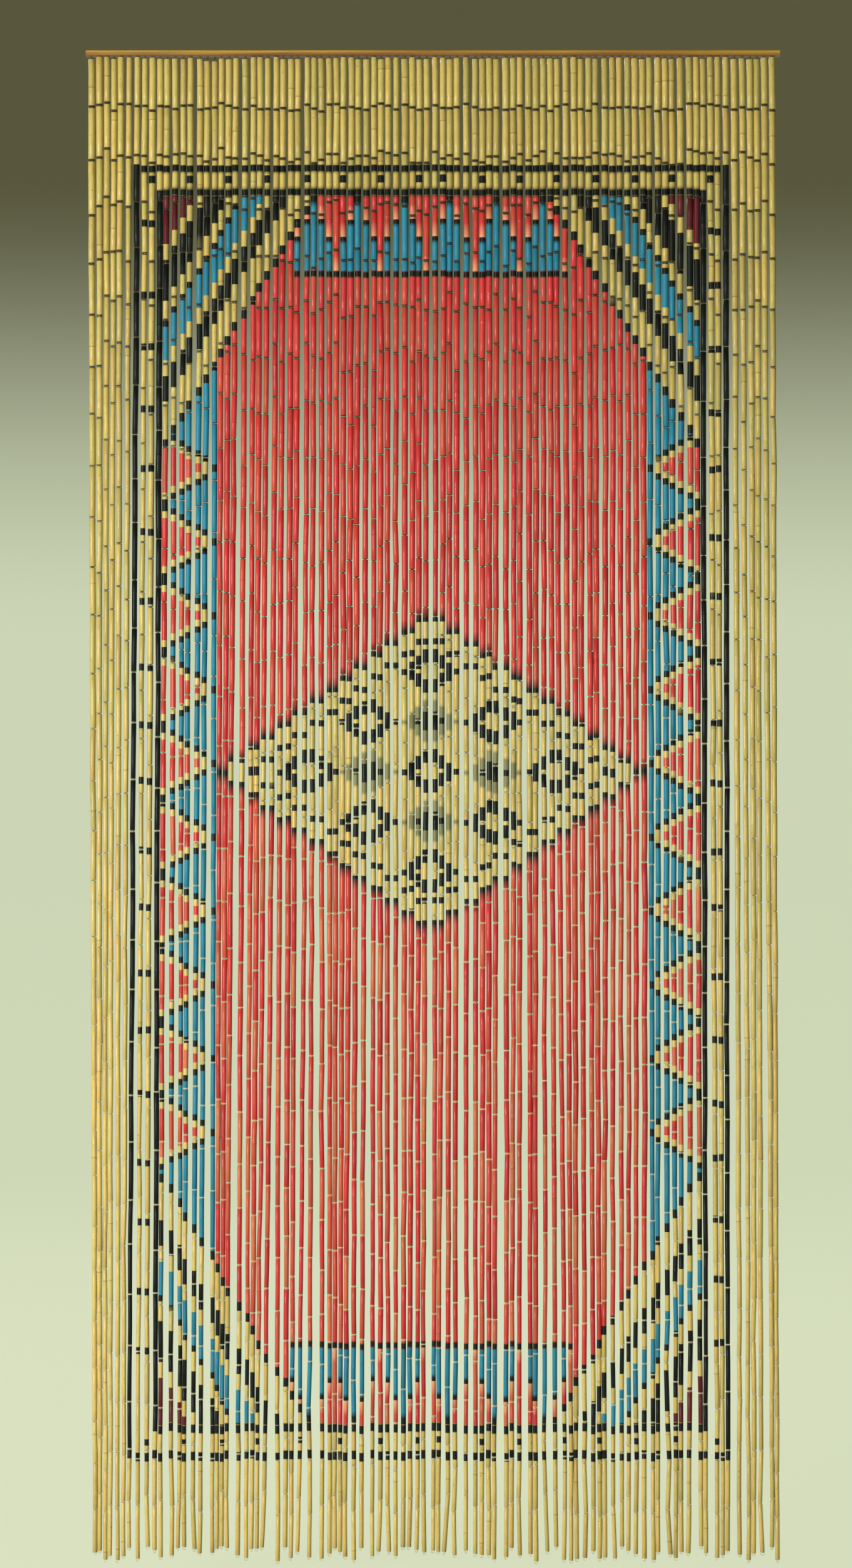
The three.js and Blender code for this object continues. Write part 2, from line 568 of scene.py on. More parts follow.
@dataclass(frozen=True)
class FrameLines:
    """The frame's black lines and dots: on which strands and at what depths they lie, and how they fade.

    Rises are measured up from the field's top, and the foot's band and dots down from the field's foot.
    """

    outer: int = 7
    inner: int = 10
    band: Span = (150, 161.5)
    band_fades: Span = (2, 6)
    foot_line: Span = (1845, 1857)
    foot_fade: float = 1.2
    dots: Span = (163.5, 174)
    foot_dots: Span = (18, 27)
    dot_every: int = 5
    dot_first: int = 4
    inner_rise: float = 8
    inner_fade: float = 4
    cross_rise: float = 12
    cross_overlap: float = 1
    cross_fades: Span = (8, 4)
    foot_band: float = 12
    foot_band_fade: float = 2


@dataclass
class PaintPlan:
    """The curtain's design: framed red field, toothed borders, stepped corners and stepped medallions.

    Borders and lines are counted in strands from the nearer side, and depths are millimetres below the
    rail's top. The field's end borders and corners are the same upside down about its middle.
    """

    strands: int = 90
    field_top: float = 191
    field_foot: float = 1809
    lines: FrameLines = field(default_factory=FrameLines)
    ticks: Ticks = field(default_factory=Ticks)
    end_border: EndBorder = field(default_factory=EndBorder)
    side_border: SideBorder = field(default_factory=SideBorder)
    corner: Corner = field(default_factory=Corner)
    outline: Medallion = field(default_factory=lambda: Medallion(45.5, 950, 28, 215, 2, OUTER_RINGS))
    lattice_rows: tuple[tuple[int, int], ...] = ((-2, 1), (-1, 3), (0, 5), (1, 3), (2, 1))
    lattice_cell: tuple[int, float] = (8, 66)

    def __post_init__(self) -> None:
        """Paints the whole design once, strand by strand."""
        self.painted = [PaintedStrand() for _ in range(self.strands + 1)]
        for strand in range(1, self.strands + 1):
            self.paint_field(strand)
            self.paint_medallions(strand)
            self.paint_end_borders(strand)
            self.paint_side_border(strand)
            self.paint_corners(strand)
            self.paint_frame(strand)

    def from_side(self, strand: int) -> int:
        """Returns the strand's number counted from the nearer side."""
        return min(strand, self.strands + 1 - strand)

    def lay(self, strand: int, top: float, foot: float, paint: Paint, fades: Span | float = CRISP) -> None:
        """Adds one stripe to a strand, unless it is too short to paint.

        Args:
            strand: The strand, from 1.
            top: The depth at which the stripe starts.
            foot: The depth at which it ends.
            paint: Its colour.
            fades: The length over which its edges fade, one for both or one each for the top and the foot.
        """
        fade_top, fade_foot = fades if isinstance(fades, tuple) else (fades, fades)
        if foot - top > CRISP:
            self.painted[strand].stripes.append(Stripe(top, foot, paint, fade_top, fade_foot))

    def lay_twice(
        self, strand: int, top: float, foot: float, paint: Paint, fades: Span | float = CRISP
    ) -> None:
        """Adds a stripe near the top of the field and its mirror image near the foot of it."""
        fade_top, fade_foot = fades if isinstance(fades, tuple) else (fades, fades)
        whole = self.field_top + self.field_foot
        self.lay(strand, top, foot, paint, (fade_top, fade_foot))
        self.lay(strand, whole - foot, whole - top, paint, (fade_foot, fade_top))

    def paint_field(self, strand: int) -> None:
        """Paints the red field, which the medallions, borders and corners then cover in places."""
        if self.from_side(strand) > self.side_border.last:
            self.lay(strand, self.field_top, self.field_foot, Paint.RED)

    def medallions(self) -> Iterable[Medallion]:
        """Yields the large medallion, and the lattice of small ones that fills it, two kinds in turn."""
        yield self.outline
        across, down = self.lattice_cell
        for row, count in self.lattice_rows:
            for column in range(-(count // 2), count // 2 + 1):
                place = self.outline.strand + column * across, self.outline.depth + row * down
                rings = SMOKY_RINGS if (row + column) % 2 else DARK_RINGS
                yield Medallion(*place, across / 2, down / 2, 1, rings)

    def paint_medallions(self, strand: int) -> None:
        """Paints the medallions in the middle of the field."""
        for medallion in self.medallions():
            for size, paint, fade in medallion.rings:
                half = medallion.half(strand, size)
                self.lay(strand, medallion.depth - half, medallion.depth + half, paint, fade)

    def paint_end_borders(self, strand: int) -> None:
        """Paints the borders of red teeth over blue at the head and the foot of the field."""
        border = self.end_border
        if self.from_side(strand) < border.first:
            return
        top, foot = self.field_top, border.foot
        period = 2 * (len(border.tips) - 1)
        beside = strand % period
        tip = top + border.tips[min(beside, period - beside)]
        self.lay_twice(strand, top, foot, Paint.BLUE)
        if tip == top:
            self.lay_twice(strand, top, top + border.root_edge, Paint.BLACK, (CRISP, border.root_fade))
        elif tip < foot:
            self.lay_twice(strand, top, tip + border.edge, Paint.BLACK, (CRISP, border.edge_fade))
        if tip > top:
            self.lay_twice(strand, top, min(tip, foot), Paint.SALMON)
            self.lay_twice(strand, top, tip - border.salmon, Paint.RED, (CRISP, border.salmon_fade))
        self.lay_twice(strand, foot, foot + border.line, Paint.BLACK, border.line_fade)

    def paint_side_border(self, strand: int) -> None:
        """Paints the border of red teeth that point inwards, edged in bare cane and black, over blue."""
        border = self.side_border
        inwards = self.from_side(strand) - border.first
        if not 0 <= inwards <= border.last - border.first:
            return
        self.lay(strand, self.field_top, self.field_foot, Paint.BLUE)
        red = border.half - border.narrowing * inwards
        black, bare = red + border.black_edge, red + border.bare_edge
        tooth = ((black, Paint.BLACK), (bare, Paint.BARE), (red, Paint.RED))
        if inwards == border.last - border.first:
            tooth = ((border.tip_half, Paint.BLACK),)
        for number in range(border.teeth):
            middle = border.first_tooth + number * border.pitch
            for half, paint in tooth:
                reach = min(half, border.pitch / 2)
                self.lay(strand, middle - reach, middle + reach, paint)

    def paint_corners(self, strand: int) -> None:
        """Paints the four corners with stepped bands."""
        inwards = self.from_side(strand) - self.side_border.first
        if 0 <= inwards < self.corner.strands:
            for size, paint in self.corner.bands:
                reach = self.corner.reach(inwards, size)
                self.lay_twice(strand, self.field_top, self.field_top + reach, paint)

    def paint_ticks(self, strand: int) -> None:
        """Paints the ticks down a strand, at like heights on the strands of one side."""
        ticks = self.ticks
        side = Draw.TICK_ROW + (strand > self.strands / 2)
        for tick in range(ticks.count):
            middle = ticks.first + ticks.pitch * tick + ticks.scatter * spread(tick, side)
            middle += spread(strand, Draw.TICK + tick)
            self.lay(strand, middle - ticks.half, middle + ticks.half, Paint.BLACK, ticks.fade)

    def paint_frame(self, strand: int) -> None:
        """Paints the frame: upright black lines, cross bands, the dotted strips and the ticked strands."""
        lines = self.lines
        inwards = self.from_side(strand)
        if inwards < lines.outer:
            return
        if inwards == lines.outer:
            self.lay(strand, lines.band[0], lines.foot_line[1], Paint.BLACK)
            return
        top, foot = self.field_top, self.field_foot
        band_foot = foot + lines.foot_band
        if inwards in self.ticks.strands:
            self.paint_ticks(strand)
        elif inwards == lines.inner:
            self.lay(strand, top - lines.inner_rise, band_foot, Paint.BLACK, (lines.inner_fade, CRISP))
        else:
            cross_foot = top + lines.cross_overlap
            self.lay(strand, top - lines.cross_rise, cross_foot, Paint.BLACK, lines.cross_fades)
            self.lay(strand, foot, band_foot, Paint.BLACK, lines.foot_band_fade)
        self.lay(strand, *lines.band, Paint.BLACK, lines.band_fades)
        self.lay(strand, *lines.foot_line, Paint.BLACK, lines.foot_fade)
        if inwards % lines.dot_every == lines.dot_first:
            dot_top, dot_foot = lines.foot_dots
            self.lay(strand, *lines.dots, Paint.BLACK, lines.foot_fade)
            self.lay(strand, foot + dot_top, foot + dot_foot, Paint.BLACK, lines.foot_fade)


# Meshes from arrays


@dataclass
class MeshArrays:
    """Gathers rings of points joined by four-sided faces, and makes one mesh of them all.

    Every body is a closed loop of rings, the last joined to the first, so each one is watertight.
    """

    points: list[np.ndarray] = field(default_factory=list)
    faces: list[np.ndarray] = field(default_factory=list)
    uvs: list[np.ndarray] = field(default_factory=list)
    values: dict[str, list[np.ndarray]] = field(default_factory=dict)
    count: int = 0

    def add(self, rings: np.ndarray, ring_v: np.ndarray, cell: Cell, **values: np.ndarray) -> None:
        """Adds one body.

        Args:
            rings: The points, as rings by sides by three.
            ring_v: The height of each ring on the body's flat map, from 0 to 1, with one more for the return
                to the first ring.
            cell: The body's cell on the map: left, foot, width and height.
            values: For each attribute, one row of numbers for each ring.
        """
        ring_count, sides = rings.shape[:2]
        ring, side = np.meshgrid(np.arange(ring_count), np.arange(sides), indexing="ij")
        below, beside = (ring + 1) % ring_count, (side + 1) % sides
        corners = [ring * sides + side, below * sides + side, below * sides + beside, ring * sides + beside]
        self.faces.append(np.stack(corners, axis=-1).reshape(-1, 4) + self.count)
        left, foot, width, height = cell
        across = np.stack([side, side, side + 1, side + 1], axis=-1) / sides
        up = np.stack([ring_v[ring], ring_v[ring + 1], ring_v[ring + 1], ring_v[ring]], axis=-1)
        self.uvs.append(np.stack([left + across * width, foot + (1 - up) * height], axis=-1).reshape(-1, 2))
        self.points.append(rings.reshape(-1, 3))
        for name, rows in values.items():
            self.values.setdefault(name, []).append(np.repeat(rows, sides, axis=0))
        self.count += ring_count * sides

    def build(self, name: str) -> bpy.types.Object:
        """Makes the object, in metres, with its attributes and its map.

        Args:
            name: The object's name.

        Returns:
            The new object, linked to the scene.
        """
        points = np.concatenate(self.points) * MM
        faces = np.concatenate(self.faces)
        mesh = bpy.data.meshes.new(name)
        mesh.vertices.add(len(points))
        mesh.vertices.foreach_set("co", points.ravel())
        mesh.loops.add(faces.size)
        mesh.loops.foreach_set("vertex_index", faces.ravel())
        mesh.polygons.add(len(faces))
        mesh.polygons.foreach_set("loop_start", np.arange(0, faces.size, 4))
        mesh.update(calc_edges=True)
        mesh.polygons.foreach_set("use_smooth", np.ones(len(faces), dtype=bool))
        flat_map = mesh.uv_layers.new(name="OFBake")
        flat_map.uv.foreach_set("vector", np.concatenate(self.uvs).ravel())
        for label, rows in self.values.items():
            numbers = np.concatenate(rows)
            kind, key = ("FLOAT", "value") if numbers.ndim == 1 else ("FLOAT_COLOR", "color")
            mesh.attributes.new(label, kind, "POINT").data.foreach_set(key, numbers.ravel())
        mesh.validate()
        piece = bpy.data.objects.new(name, mesh)
        bpy.context.scene.collection.objects.link(piece)
        return piece


@dataclass(frozen=True)
class MapGrid:
    """A grid of cells on a flat map, one for each body, with a margin between them."""

    columns: int
    rows: int
    margin: float = 0.06

    def cell(self, index: int) -> Cell:
        """Returns the left, foot, width and height of a body's cell."""
        row, column = divmod(index, self.columns)
        width, height = 1 / self.columns, 1 / self.rows
        return (
            (column + self.margin) * width,
            (row + self.margin / 2) * height,
            (1 - 2 * self.margin) * width,
            (1 - self.margin) * height,
        )


# Shader maths


@dataclass(frozen=True)
class Link:
    """A number that a node puts out, with operators that add Math nodes to the same tree."""

    tree: "Tree"
    socket: bpy.types.NodeSocket

    def _math(self, operation: str, *values: "Link | float", clamp: bool = False) -> "Link":
        """Adds a Math node on the values and returns its result."""
        settings = {"operation": operation, "use_clamp": clamp}
        node = self.tree.node("ShaderNodeMath", settings, dict(enumerate(values)))
        return Link(self.tree, node.outputs[0])

    def __add__(self, other: "Link | float") -> "Link":
        """Returns the sum."""
        return self._math("ADD", self, other)

    def __radd__(self, other: float) -> "Link":
        """Returns the sum with the number first."""
        return self._math("ADD", other, self)

    def __sub__(self, other: "Link | float") -> "Link":
        """Returns the difference."""
        return self._math("SUBTRACT", self, other)

    def __rsub__(self, other: float) -> "Link":
        """Returns the difference from the number."""
        return self._math("SUBTRACT", other, self)

    def __mul__(self, other: "Link | float") -> "Link":
        """Returns the product."""
        return self._math("MULTIPLY", self, other)

    def __rmul__(self, other: float) -> "Link":
        """Returns the product with the number first."""
        return self._math("MULTIPLY", other, self)

    def __abs__(self) -> "Link":
        """Returns the value without its sign."""
        return self._math("ABSOLUTE", self)

    def clamped(self) -> "Link":
        """Returns the value held between 0 and 1."""
        return self._math("ADD", self, 0.0, clamp=True)

    def ramp(self, low: float, high: float) -> "Link":
        """Returns 0 below low and 1 above high, or the other way round where low is the larger."""
        return self._math("MULTIPLY", self - low, 1 / (high - low), clamp=True)


@dataclass
class Tree:
    """A node tree, and the methods that add nodes to it."""

    nodes: bpy.types.NodeTree

    def connect(self, socket: bpy.types.NodeSocket, value: object) -> None:
        """Links a value to a socket, or sets it where it is a plain number, colour or vector."""
        if isinstance(value, Link):
            self.nodes.links.new(value.socket, socket)
        elif isinstance(value, bpy.types.NodeSocket):
            self.nodes.links.new(value, socket)
        else:
            socket.default_value = value

    def node(self, kind: str, settings: dict | None = None, inputs: dict | None = None) -> bpy.types.Node:
        """Adds a node.

        Args:
            kind: The node's type.
            settings: Its settings by name, set before its sockets.
            inputs: The values or links of its sockets, by name or by place.

        Returns:
            The new node.
        """
        node = self.nodes.nodes.new(kind)
        for name, value in (settings or {}).items():
            setattr(node, name, value)
        for key, value in (inputs or {}).items():
            self.connect(node.inputs[key], value)
        return node

    def upright(self, place: object) -> Link:
        """Returns the Z of a place."""
        return Link(self, self.node("ShaderNodeSeparateXYZ", None, {0: place}).outputs[2])

    def stretched(self, place: object, scale: Place, offset: object = (0, 0, 0)) -> object:
        """Returns a place scaled along each axis and then moved by an offset."""
        settings = {"operation": "MULTIPLY_ADD"}
        return self.node("ShaderNodeVectorMath", settings, {0: place, 1: scale, 2: offset}).outputs[0]

    def noise(self, place: object, detail: float = 2.0, roughness: float = 0.5) -> Link:
        """Returns soft noise of about one wave for each unit of the place given."""
        inputs = {"Vector": place, "Scale": 1.0, "Detail": detail, "Roughness": roughness}
        return Link(self, self.node("ShaderNodeTexNoise", None, inputs).outputs[0])

    def blend(self, first: object, second: object, share: "Link | float", way: str = "MIX") -> object:
        """Mixes two colours.

        Args:
            first: The colour where the share is 0.
            second: The colour where the share is 1.
            share: How much of the second there is.
            way: How the second is laid on, such as MIX or MULTIPLY.

        Returns:
            The mixed colour.
        """
        settings = {"data_type": "RGBA", "blend_type": way}
        colours = {6: self.whole(first), 7: self.whole(second)}
        return self.node("ShaderNodeMix", settings, {0: share, **colours}).outputs[2]

    @staticmethod
    def whole(colour: object) -> object:
        """Returns a plain colour with its alpha added, and a link as it is."""
        return (*colour, 1.0) if isinstance(colour, tuple) and len(colour) == 3 else colour


class Shader(Tree):
    """A material's tree, with its Principled surface."""

    def __init__(self, name: str) -> None:
        """Makes a material with a Principled surface.

        Args:
            name: The material's name.
        """
        self.material = bpy.data.materials.new(name)
        self.material.use_nodes = True
        super().__init__(self.material.node_tree)
        self.surface = self.nodes.nodes["Principled BSDF"]

    def dress(self, **inputs: object) -> bpy.types.Material:
        """Sets the surface's sockets, named with _ for each space, and returns the material."""
        for name, value in inputs.items():
            self.connect(self.surface.inputs[name.replace("_", " ")], value)
        return self.material

    def position(self) -> bpy.types.NodeSocket:
        """Returns the place on the object, in metres."""
        return self.node("ShaderNodeTexCoord").outputs["Object"]

    def height(self) -> Link:
        """Returns how high a place on the object is, in metres."""
        return self.upright(self.position())

    def number(self, name: str) -> Link:
        """Returns a mesh attribute that holds one number."""
        return Link(self, self.node("ShaderNodeAttribute", {"attribute_name": name}).outputs["Fac"])

    def four(self, name: str) -> tuple[object, Link, Link, Link, Link]:
        """Returns a mesh attribute that holds a colour: whole, and its red, green, blue and alpha."""
        attribute = self.node("ShaderNodeAttribute", {"attribute_name": name})
        parts = self.node("ShaderNodeSeparateColor", None, {0: attribute.outputs["Color"]})
        red, green, blue = (Link(self, parts.outputs[place]) for place in range(3))
        return attribute.outputs["Color"], red, green, blue, Link(self, attribute.outputs["Alpha"])

    def bump(self, height: Link, strength: float, distance: float) -> object:
        """Returns a normal raised by a height, with the distance in metres."""
        inputs = {"Strength": strength, "Distance": distance, "Height": height}
        return self.node("ShaderNodeBump", None, inputs).outputs[0]


# Finishes


@dataclass(frozen=True)
class PaintedCane:
    """Bamboo cane with its fibres and natural tones, painted in places and lacquered all over.

    The tubes' ends are darkened with painted shade from the rail down to about a third of the curtain and
    get paler below that, where the cut cane's own pale end is lightened as painted light. The cane itself
    takes a lighter, yellower painted light towards the foot. Heights are in metres, and distances from a
    tube's end, such as those of the ends' painted shading, in millimetres. A pair of either, or one named
    for tones or noise, says where a change starts and where it is complete. A detail pair gives a noise's
    detail and roughness. Any other pair gives the amounts without and with what it is named for.
    """

    yellow: Colour = linear("BFAB5E")
    green: Colour = linear("A9A65A")
    orange: Colour = linear("CF9C4C")
    # A lighter, yellower tone: painted light that the lower tubes take.
    painted_light_gold: Colour = linear("E2C46E")
    # The cane's dark specks, and the painted shade on the tubes' ends high up.
    speck_and_end_shade: Colour = linear("24180A")
    # The pale of the ends low down: the cut cane's own pale end, lightened as painted light.
    pale_end: Colour = linear("E2D3A4")
    scar: Colour = linear("6B5426")
    fibre_scale: Place = (1700, 1700, 45)
    fibre_detail: Span = (3.0, 0.6)
    mottle_scale: Place = (180, 180, 60)
    mottle_detail: Span = (2.0, 0.5)
    speck_scale: Place = (800, 800, 500)
    speck_detail: Span = (0.0, 0.5)
    shift_by_seed: Place = (91.0, 57.0, 23.0)
    low_heights: Span = (-0.7, -1.35)
    high_heights: Span = (-0.55, -0.28)
    green_tones: Span = (0.45, 0.0)
    green_share: float = 0.38
    orange_tones: Span = (0.6, 1.0)
    orange_share_low: Span = (0.16, 0.4)
    painted_light_gold_share: float = 0.3
    mottle_noise: Span = (0.55, 0.85)
    mottle_share: float = 0.35
    fibre_noise: Span = (0.5, 0.95)
    fibre_share: float = 0.4
    speck_noise: Span = (0.8, 0.83)
    speck_share: float = 0.8
    ridge_share: float = 0.6
    chip_noise: Span = (0.42, 0.6)
    chips_by_red: Span = (0.2, 1.0)
    chip_distances: Span = (1.6, 0.3)
    wear_noise: Span = (0.4, 0.9)
    wear_by_red: Span = (0.02, 0.32)
    thinning: float = 0.3
    thinning_low: Span = (0.6, 1.6)
    darkest: float = 0.71
    value_share: float = 0.28
    mottle_value: float = 0.2
    # How much of the ends' painted shading shows, and how far along a tube it reaches high up, midway and
    # low down.
    painted_shading: float = 0.9
    shading_high: Span = (1.9, 1.0)
    shading_middle: Span = (1.0, 0.5)
    shading_low: Span = (0.5, 0.3)
    shading_low_share: float = 0.5
    roughness: float = 0.36
    mottle_roughness: float = 0.14
    cut_roughness: float = 0.3
    specular: float = 0.12
    lacquer_by_red: Span = (0.02, 0.32)
    lacquer_roughness: float = 0.2
    relief: float = 0.35
    relief_height: float = 0.0003

    def material(self) -> bpy.types.Material:
        """Builds the finish from the mesh's paint, cane, ring and end attributes."""
        shader = CaneShader(self)
        coloured = self.painted(shader, self.bare_cane(shader))
        coloured = shader.blend(coloured, self.end_tone(shader), self.end_share(shader))
        uneven = shader.mottle * self.mottle_roughness + shader.cut * self.cut_roughness
        return shader.dress(
            Base_Color=coloured,
            Roughness=self.roughness + uneven,
            Specular_IOR_Level=self.specular,
            Coat_Weight=mix(*self.lacquer_by_red, shader.paint_red) * (1 - shader.cut),
            Coat_Roughness=self.lacquer_roughness,
            Normal=shader.bump((shader.fibres + shader.ring) * 0.5, self.relief, self.relief_height),
        )

    def bare_cane(self, shader: "CaneShader") -> object:
        """Returns the cane's own colour: its ground tones, scars, fibres, specks and ridges."""
        green = shader.warmth.ramp(*self.green_tones) * self.green_share
        orange = shader.warmth.ramp(*self.orange_tones) * mix(*self.orange_share_low, shader.low)
        specks = shader.grained(self.speck_scale, *self.speck_detail).ramp(*self.speck_noise)
        cane = shader.blend(self.yellow, self.green, green)
        cane = shader.blend(cane, self.orange, orange)
        # Painted light: the cane gets lighter and yellower towards the foot.
        cane = shader.blend(cane, self.painted_light_gold, shader.low * self.painted_light_gold_share)
        cane = shader.blend(cane, self.scar, shader.mottle.ramp(*self.mottle_noise) * self.mottle_share)
        cane = shader.blend(cane, self.scar, shader.fibres.ramp(*self.fibre_noise) * self.fibre_share)
        cane = shader.blend(cane, self.speck_and_end_shade, specks * self.speck_share)
        return shader.blend(cane, self.scar, shader.ring * self.ridge_share)

    def painted(self, shader: "CaneShader", cane: object) -> object:
        """Returns the cane with its paint on, chipped near the tubes' ends and rubbed thin along the fibres.

        Args:
            shader: The tubes' shader.
            cane: The cane's own colour.

        Returns:
            The colour with the paint, lighter or darker from tube to tube.
        """
        near = shader.near_end.ramp(*self.chip_distances)
        chipped = near * shader.mottle.ramp(*self.chip_noise) * mix(*self.chips_by_red, shader.paint_red)
        wear_and_end_shading = shader.fibres.ramp(*self.wear_noise) * mix(*self.wear_by_red, shader.paint_red)
        thinning = shader.paint_red * mix(*self.thinning_low, shader.low) * self.thinning
        thin = 1 - (wear_and_end_shading + shader.seed * shader.seed * thinning)
        coloured = shader.blend(cane, shader.paint, shader.cover * thin * (1 - chipped))
        value = shader.value * self.value_share + self.darkest + shader.mottle * self.mottle_value
        shade = shader.grey(value.clamped())
        return shader.blend(coloured, shade, 1.0, "MULTIPLY")

    def end_tone(self, shader: "CaneShader") -> object:
        """Returns the ends' tone: dark as painted shade at the top of the curtain, and pale at its foot."""
        # Pale low down is the cut cane's own pale end, lightened there as painted light.
        return shader.blend(self.speck_and_end_shade, self.pale_end, shader.low)

    def end_share(self, shader: "CaneShader") -> Link:
        """Returns how much of the ends' tone shows: on the cut faces, and further along the higher up."""
        # The ends' painted shading reaches further along the tubes the higher up they hang.
        near = shader.near_end
        wear_and_end_shading = near.ramp(*self.shading_high) * shader.high + near.ramp(*self.shading_middle) * (1 - shader.low)
        wear_and_end_shading = wear_and_end_shading + near.ramp(*self.shading_low) * shader.low * self.shading_low_share
        return (shader.cut + wear_and_end_shading).clamped() * self.painted_shading


class CaneShader(Shader):
    """The tubes' shader, with the mesh's attributes and the noises that their finish is worked out from."""

    def __init__(self, finish: PaintedCane) -> None:
        """Reads the attributes and lays the noises.

        Args:
            finish: The finish whose scales and heights it follows.
        """
        super().__init__("painted_cane")
        self.paint, self.paint_red, _, _, self.cover = self.four("paint")
        _, self.warmth, self.value, self.seed, self.cut = self.four("cane")
        self.ring = self.number("ring")
        self.near_end = self.number("near_end")
        self.low = self.height().ramp(*finish.low_heights)
        self.high = self.height().ramp(*finish.high_heights)
        shifts = {axis: self.seed * shift for axis, shift in enumerate(finish.shift_by_seed)}
        self.shift = self.node("ShaderNodeCombineXYZ", None, shifts).outputs[0]
        self.fibres = self.grained(finish.fibre_scale, *finish.fibre_detail)
        self.mottle = self.grained(finish.mottle_scale, *finish.mottle_detail)

    def grained(self, scale: Place, detail: float, roughness: float) -> Link:
        """Returns noise of a scale, which lies differently on each tube."""
        return self.noise(self.stretched(self.position(), scale, self.shift), detail, roughness)

    def grey(self, value: Link) -> object:
        """Returns a grey of a value."""
        return self.node("ShaderNodeCombineColor", None, {0: value, 1: value, 2: value}).outputs[0]


@dataclass(frozen=True)
class LinkWire:
    """Thin galvanised wire, a little tarnished, and darkened with painted shade near the rail."""

    bright: Colour = linear("C9C4B4")
    dull: Colour = linear("7F7868")
    # Painted shade that darkens the wire near the rail.
    painted_shade: Colour = linear("382C1A")
    tarnish_scale: Place = (300, 300, 300)
    tarnish_noise: Span = (0.35, 0.7)
    # Where the painted shade near the rail starts and is complete, and how strong it is.
    painted_shade_heights: Span = (-0.3, -0.02)
    painted_shading: float = 0.9
    metal: float = 0.85
    roughness_by_tarnish: Span = (0.3, 0.55)

    def material(self) -> bpy.types.Material:
        """Builds the finish."""
        shader = Shader("link_wire")
        spots = shader.noise(shader.stretched(shader.position(), self.tarnish_scale))
        tarnish = spots.ramp(*self.tarnish_noise)
        wire = shader.blend(self.bright, self.dull, tarnish)
        # Painted shade: the wire gets darker towards the rail.
        painted_shade = shader.height().ramp(*self.painted_shade_heights) * self.painted_shading
        return shader.dress(
            Base_Color=shader.blend(wire, self.painted_shade, painted_shade),
            Metallic=self.metal,
            Roughness=mix(*self.roughness_by_tarnish, tarnish),
        )


@dataclass(frozen=True)
class StainedWood:
    """A batten of softwood in woodstain: long grain, a paler upper edge and a darker, redder lower one."""

    pale: Colour = linear("B48E24")
    middle: Colour = linear("88560C")
    dark: Colour = linear("3C1903")
    grain_scale: Place = (9, 520, 520)
    grain_detail: Span = (4.0, 0.65)
    patch_scale: Place = (5, 30, 90)
    low_heights: Span = (-0.0015, -0.007)
    low_share: float = 0.9
    brown_noise: Span = (0.4, 0.65)
    brown_share: float = 0.6
    dark_noise: Span = (0.2, 0.6)
    dark_share: float = 0.6
    grain_noise: Span = (0.48, 0.78)
    grain_share: float = 0.65
    roughness_by_grain: Span = (0.42, 0.67)
    varnish: float = 0.15
    varnish_roughness: float = 0.3
    relief: float = 0.4
    relief_height: float = 0.0004

    def material(self) -> bpy.types.Material:
        """Builds the finish."""
        shader = Shader("stained_wood")
        place = shader.position()
        grain = shader.noise(shader.stretched(place, self.grain_scale), *self.grain_detail)
        patches = shader.noise(shader.stretched(place, self.patch_scale))
        # The lower edge's darker, redder tone is partly the wood's own and partly painted shade under the
        # rail.
        low = shader.height().ramp(*self.low_heights)
        brown = (low * self.low_share + patches.ramp(*self.brown_noise) * self.brown_share).clamped()
        wood = shader.blend(self.pale, self.middle, brown)
        wood = shader.blend(wood, self.dark, low * patches.ramp(*self.dark_noise) * self.dark_share)
        wood = shader.blend(wood, self.dark, grain.ramp(*self.grain_noise) * self.grain_share)
        return shader.dress(
            Base_Color=wood,
            Roughness=mix(*self.roughness_by_grain, grain),
            Coat_Weight=self.varnish,
            Coat_Roughness=self.varnish_roughness,
            Normal=shader.bump(grain, self.relief, self.relief_height),
        )


@dataclass(frozen=True)
class PlainFloor:
    """A plain matt studio floor that passes into the tone of the horizon far away."""

    tone: Colour = linear("62605A")
    nothing: Colour = (0.0, 0.0, 0.0)
    change: Span = (0.5, 40.0)
    roughness: float = 0.9

    def material(self, horizon: Colour) -> bpy.types.Material:
        """Builds the finish.

        Args:
            horizon: The linear tone that the floor takes far away.

        Returns:
            The floor's material.
        """
        shader = Shader("plain_floor")
        settings = {"operation": "LENGTH"}
        away = shader.node("ShaderNodeVectorMath", settings, {0: shader.position()}).outputs["Value"]
        share = Link(shader, away).ramp(*self.change)
        return shader.dress(
            Base_Color=shader.blend(self.tone, self.nothing, share),
            Roughness=self.roughness,
            Specular_IOR_Level=0.0,
            Emission_Color=shader.whole(horizon),
            Emission_Strength=1.0,
        )


@dataclass(frozen=True)
class Backdrop:
    """A plain studio backdrop, pale at the horizon and darker above and below it as painted shade.

    Near and reach say where the change starts and ends, each the sine of the angle from the horizon.
    """

    horizon: Colour = linear("CCD5B5")
    # The dark above the horizon is painted shade, seen between the strands near the rail.
    away: Colour = linear("58573E")
    near: float = 0.03
    reach: float = 0.14

    def build(self) -> None:
        """Builds the world."""
        world = bpy.data.worlds.new("studio")
        world.use_nodes = True
        tree = Tree(world.node_tree)
        direction = tree.node("ShaderNodeTexCoord").outputs["Generated"]
        inputs = {"Value": abs(tree.upright(direction)), "From Min": self.near, "From Max": self.reach}
        share = tree.node("ShaderNodeMapRange", {"interpolation_type": "SMOOTHSTEP"}, inputs).outputs[0]
        background = world.node_tree.nodes["Background"]
        tree.connect(background.inputs[0], tree.blend(self.horizon, self.away, share))
        bpy.context.scene.world = world


# The curtain's sub-assemblies


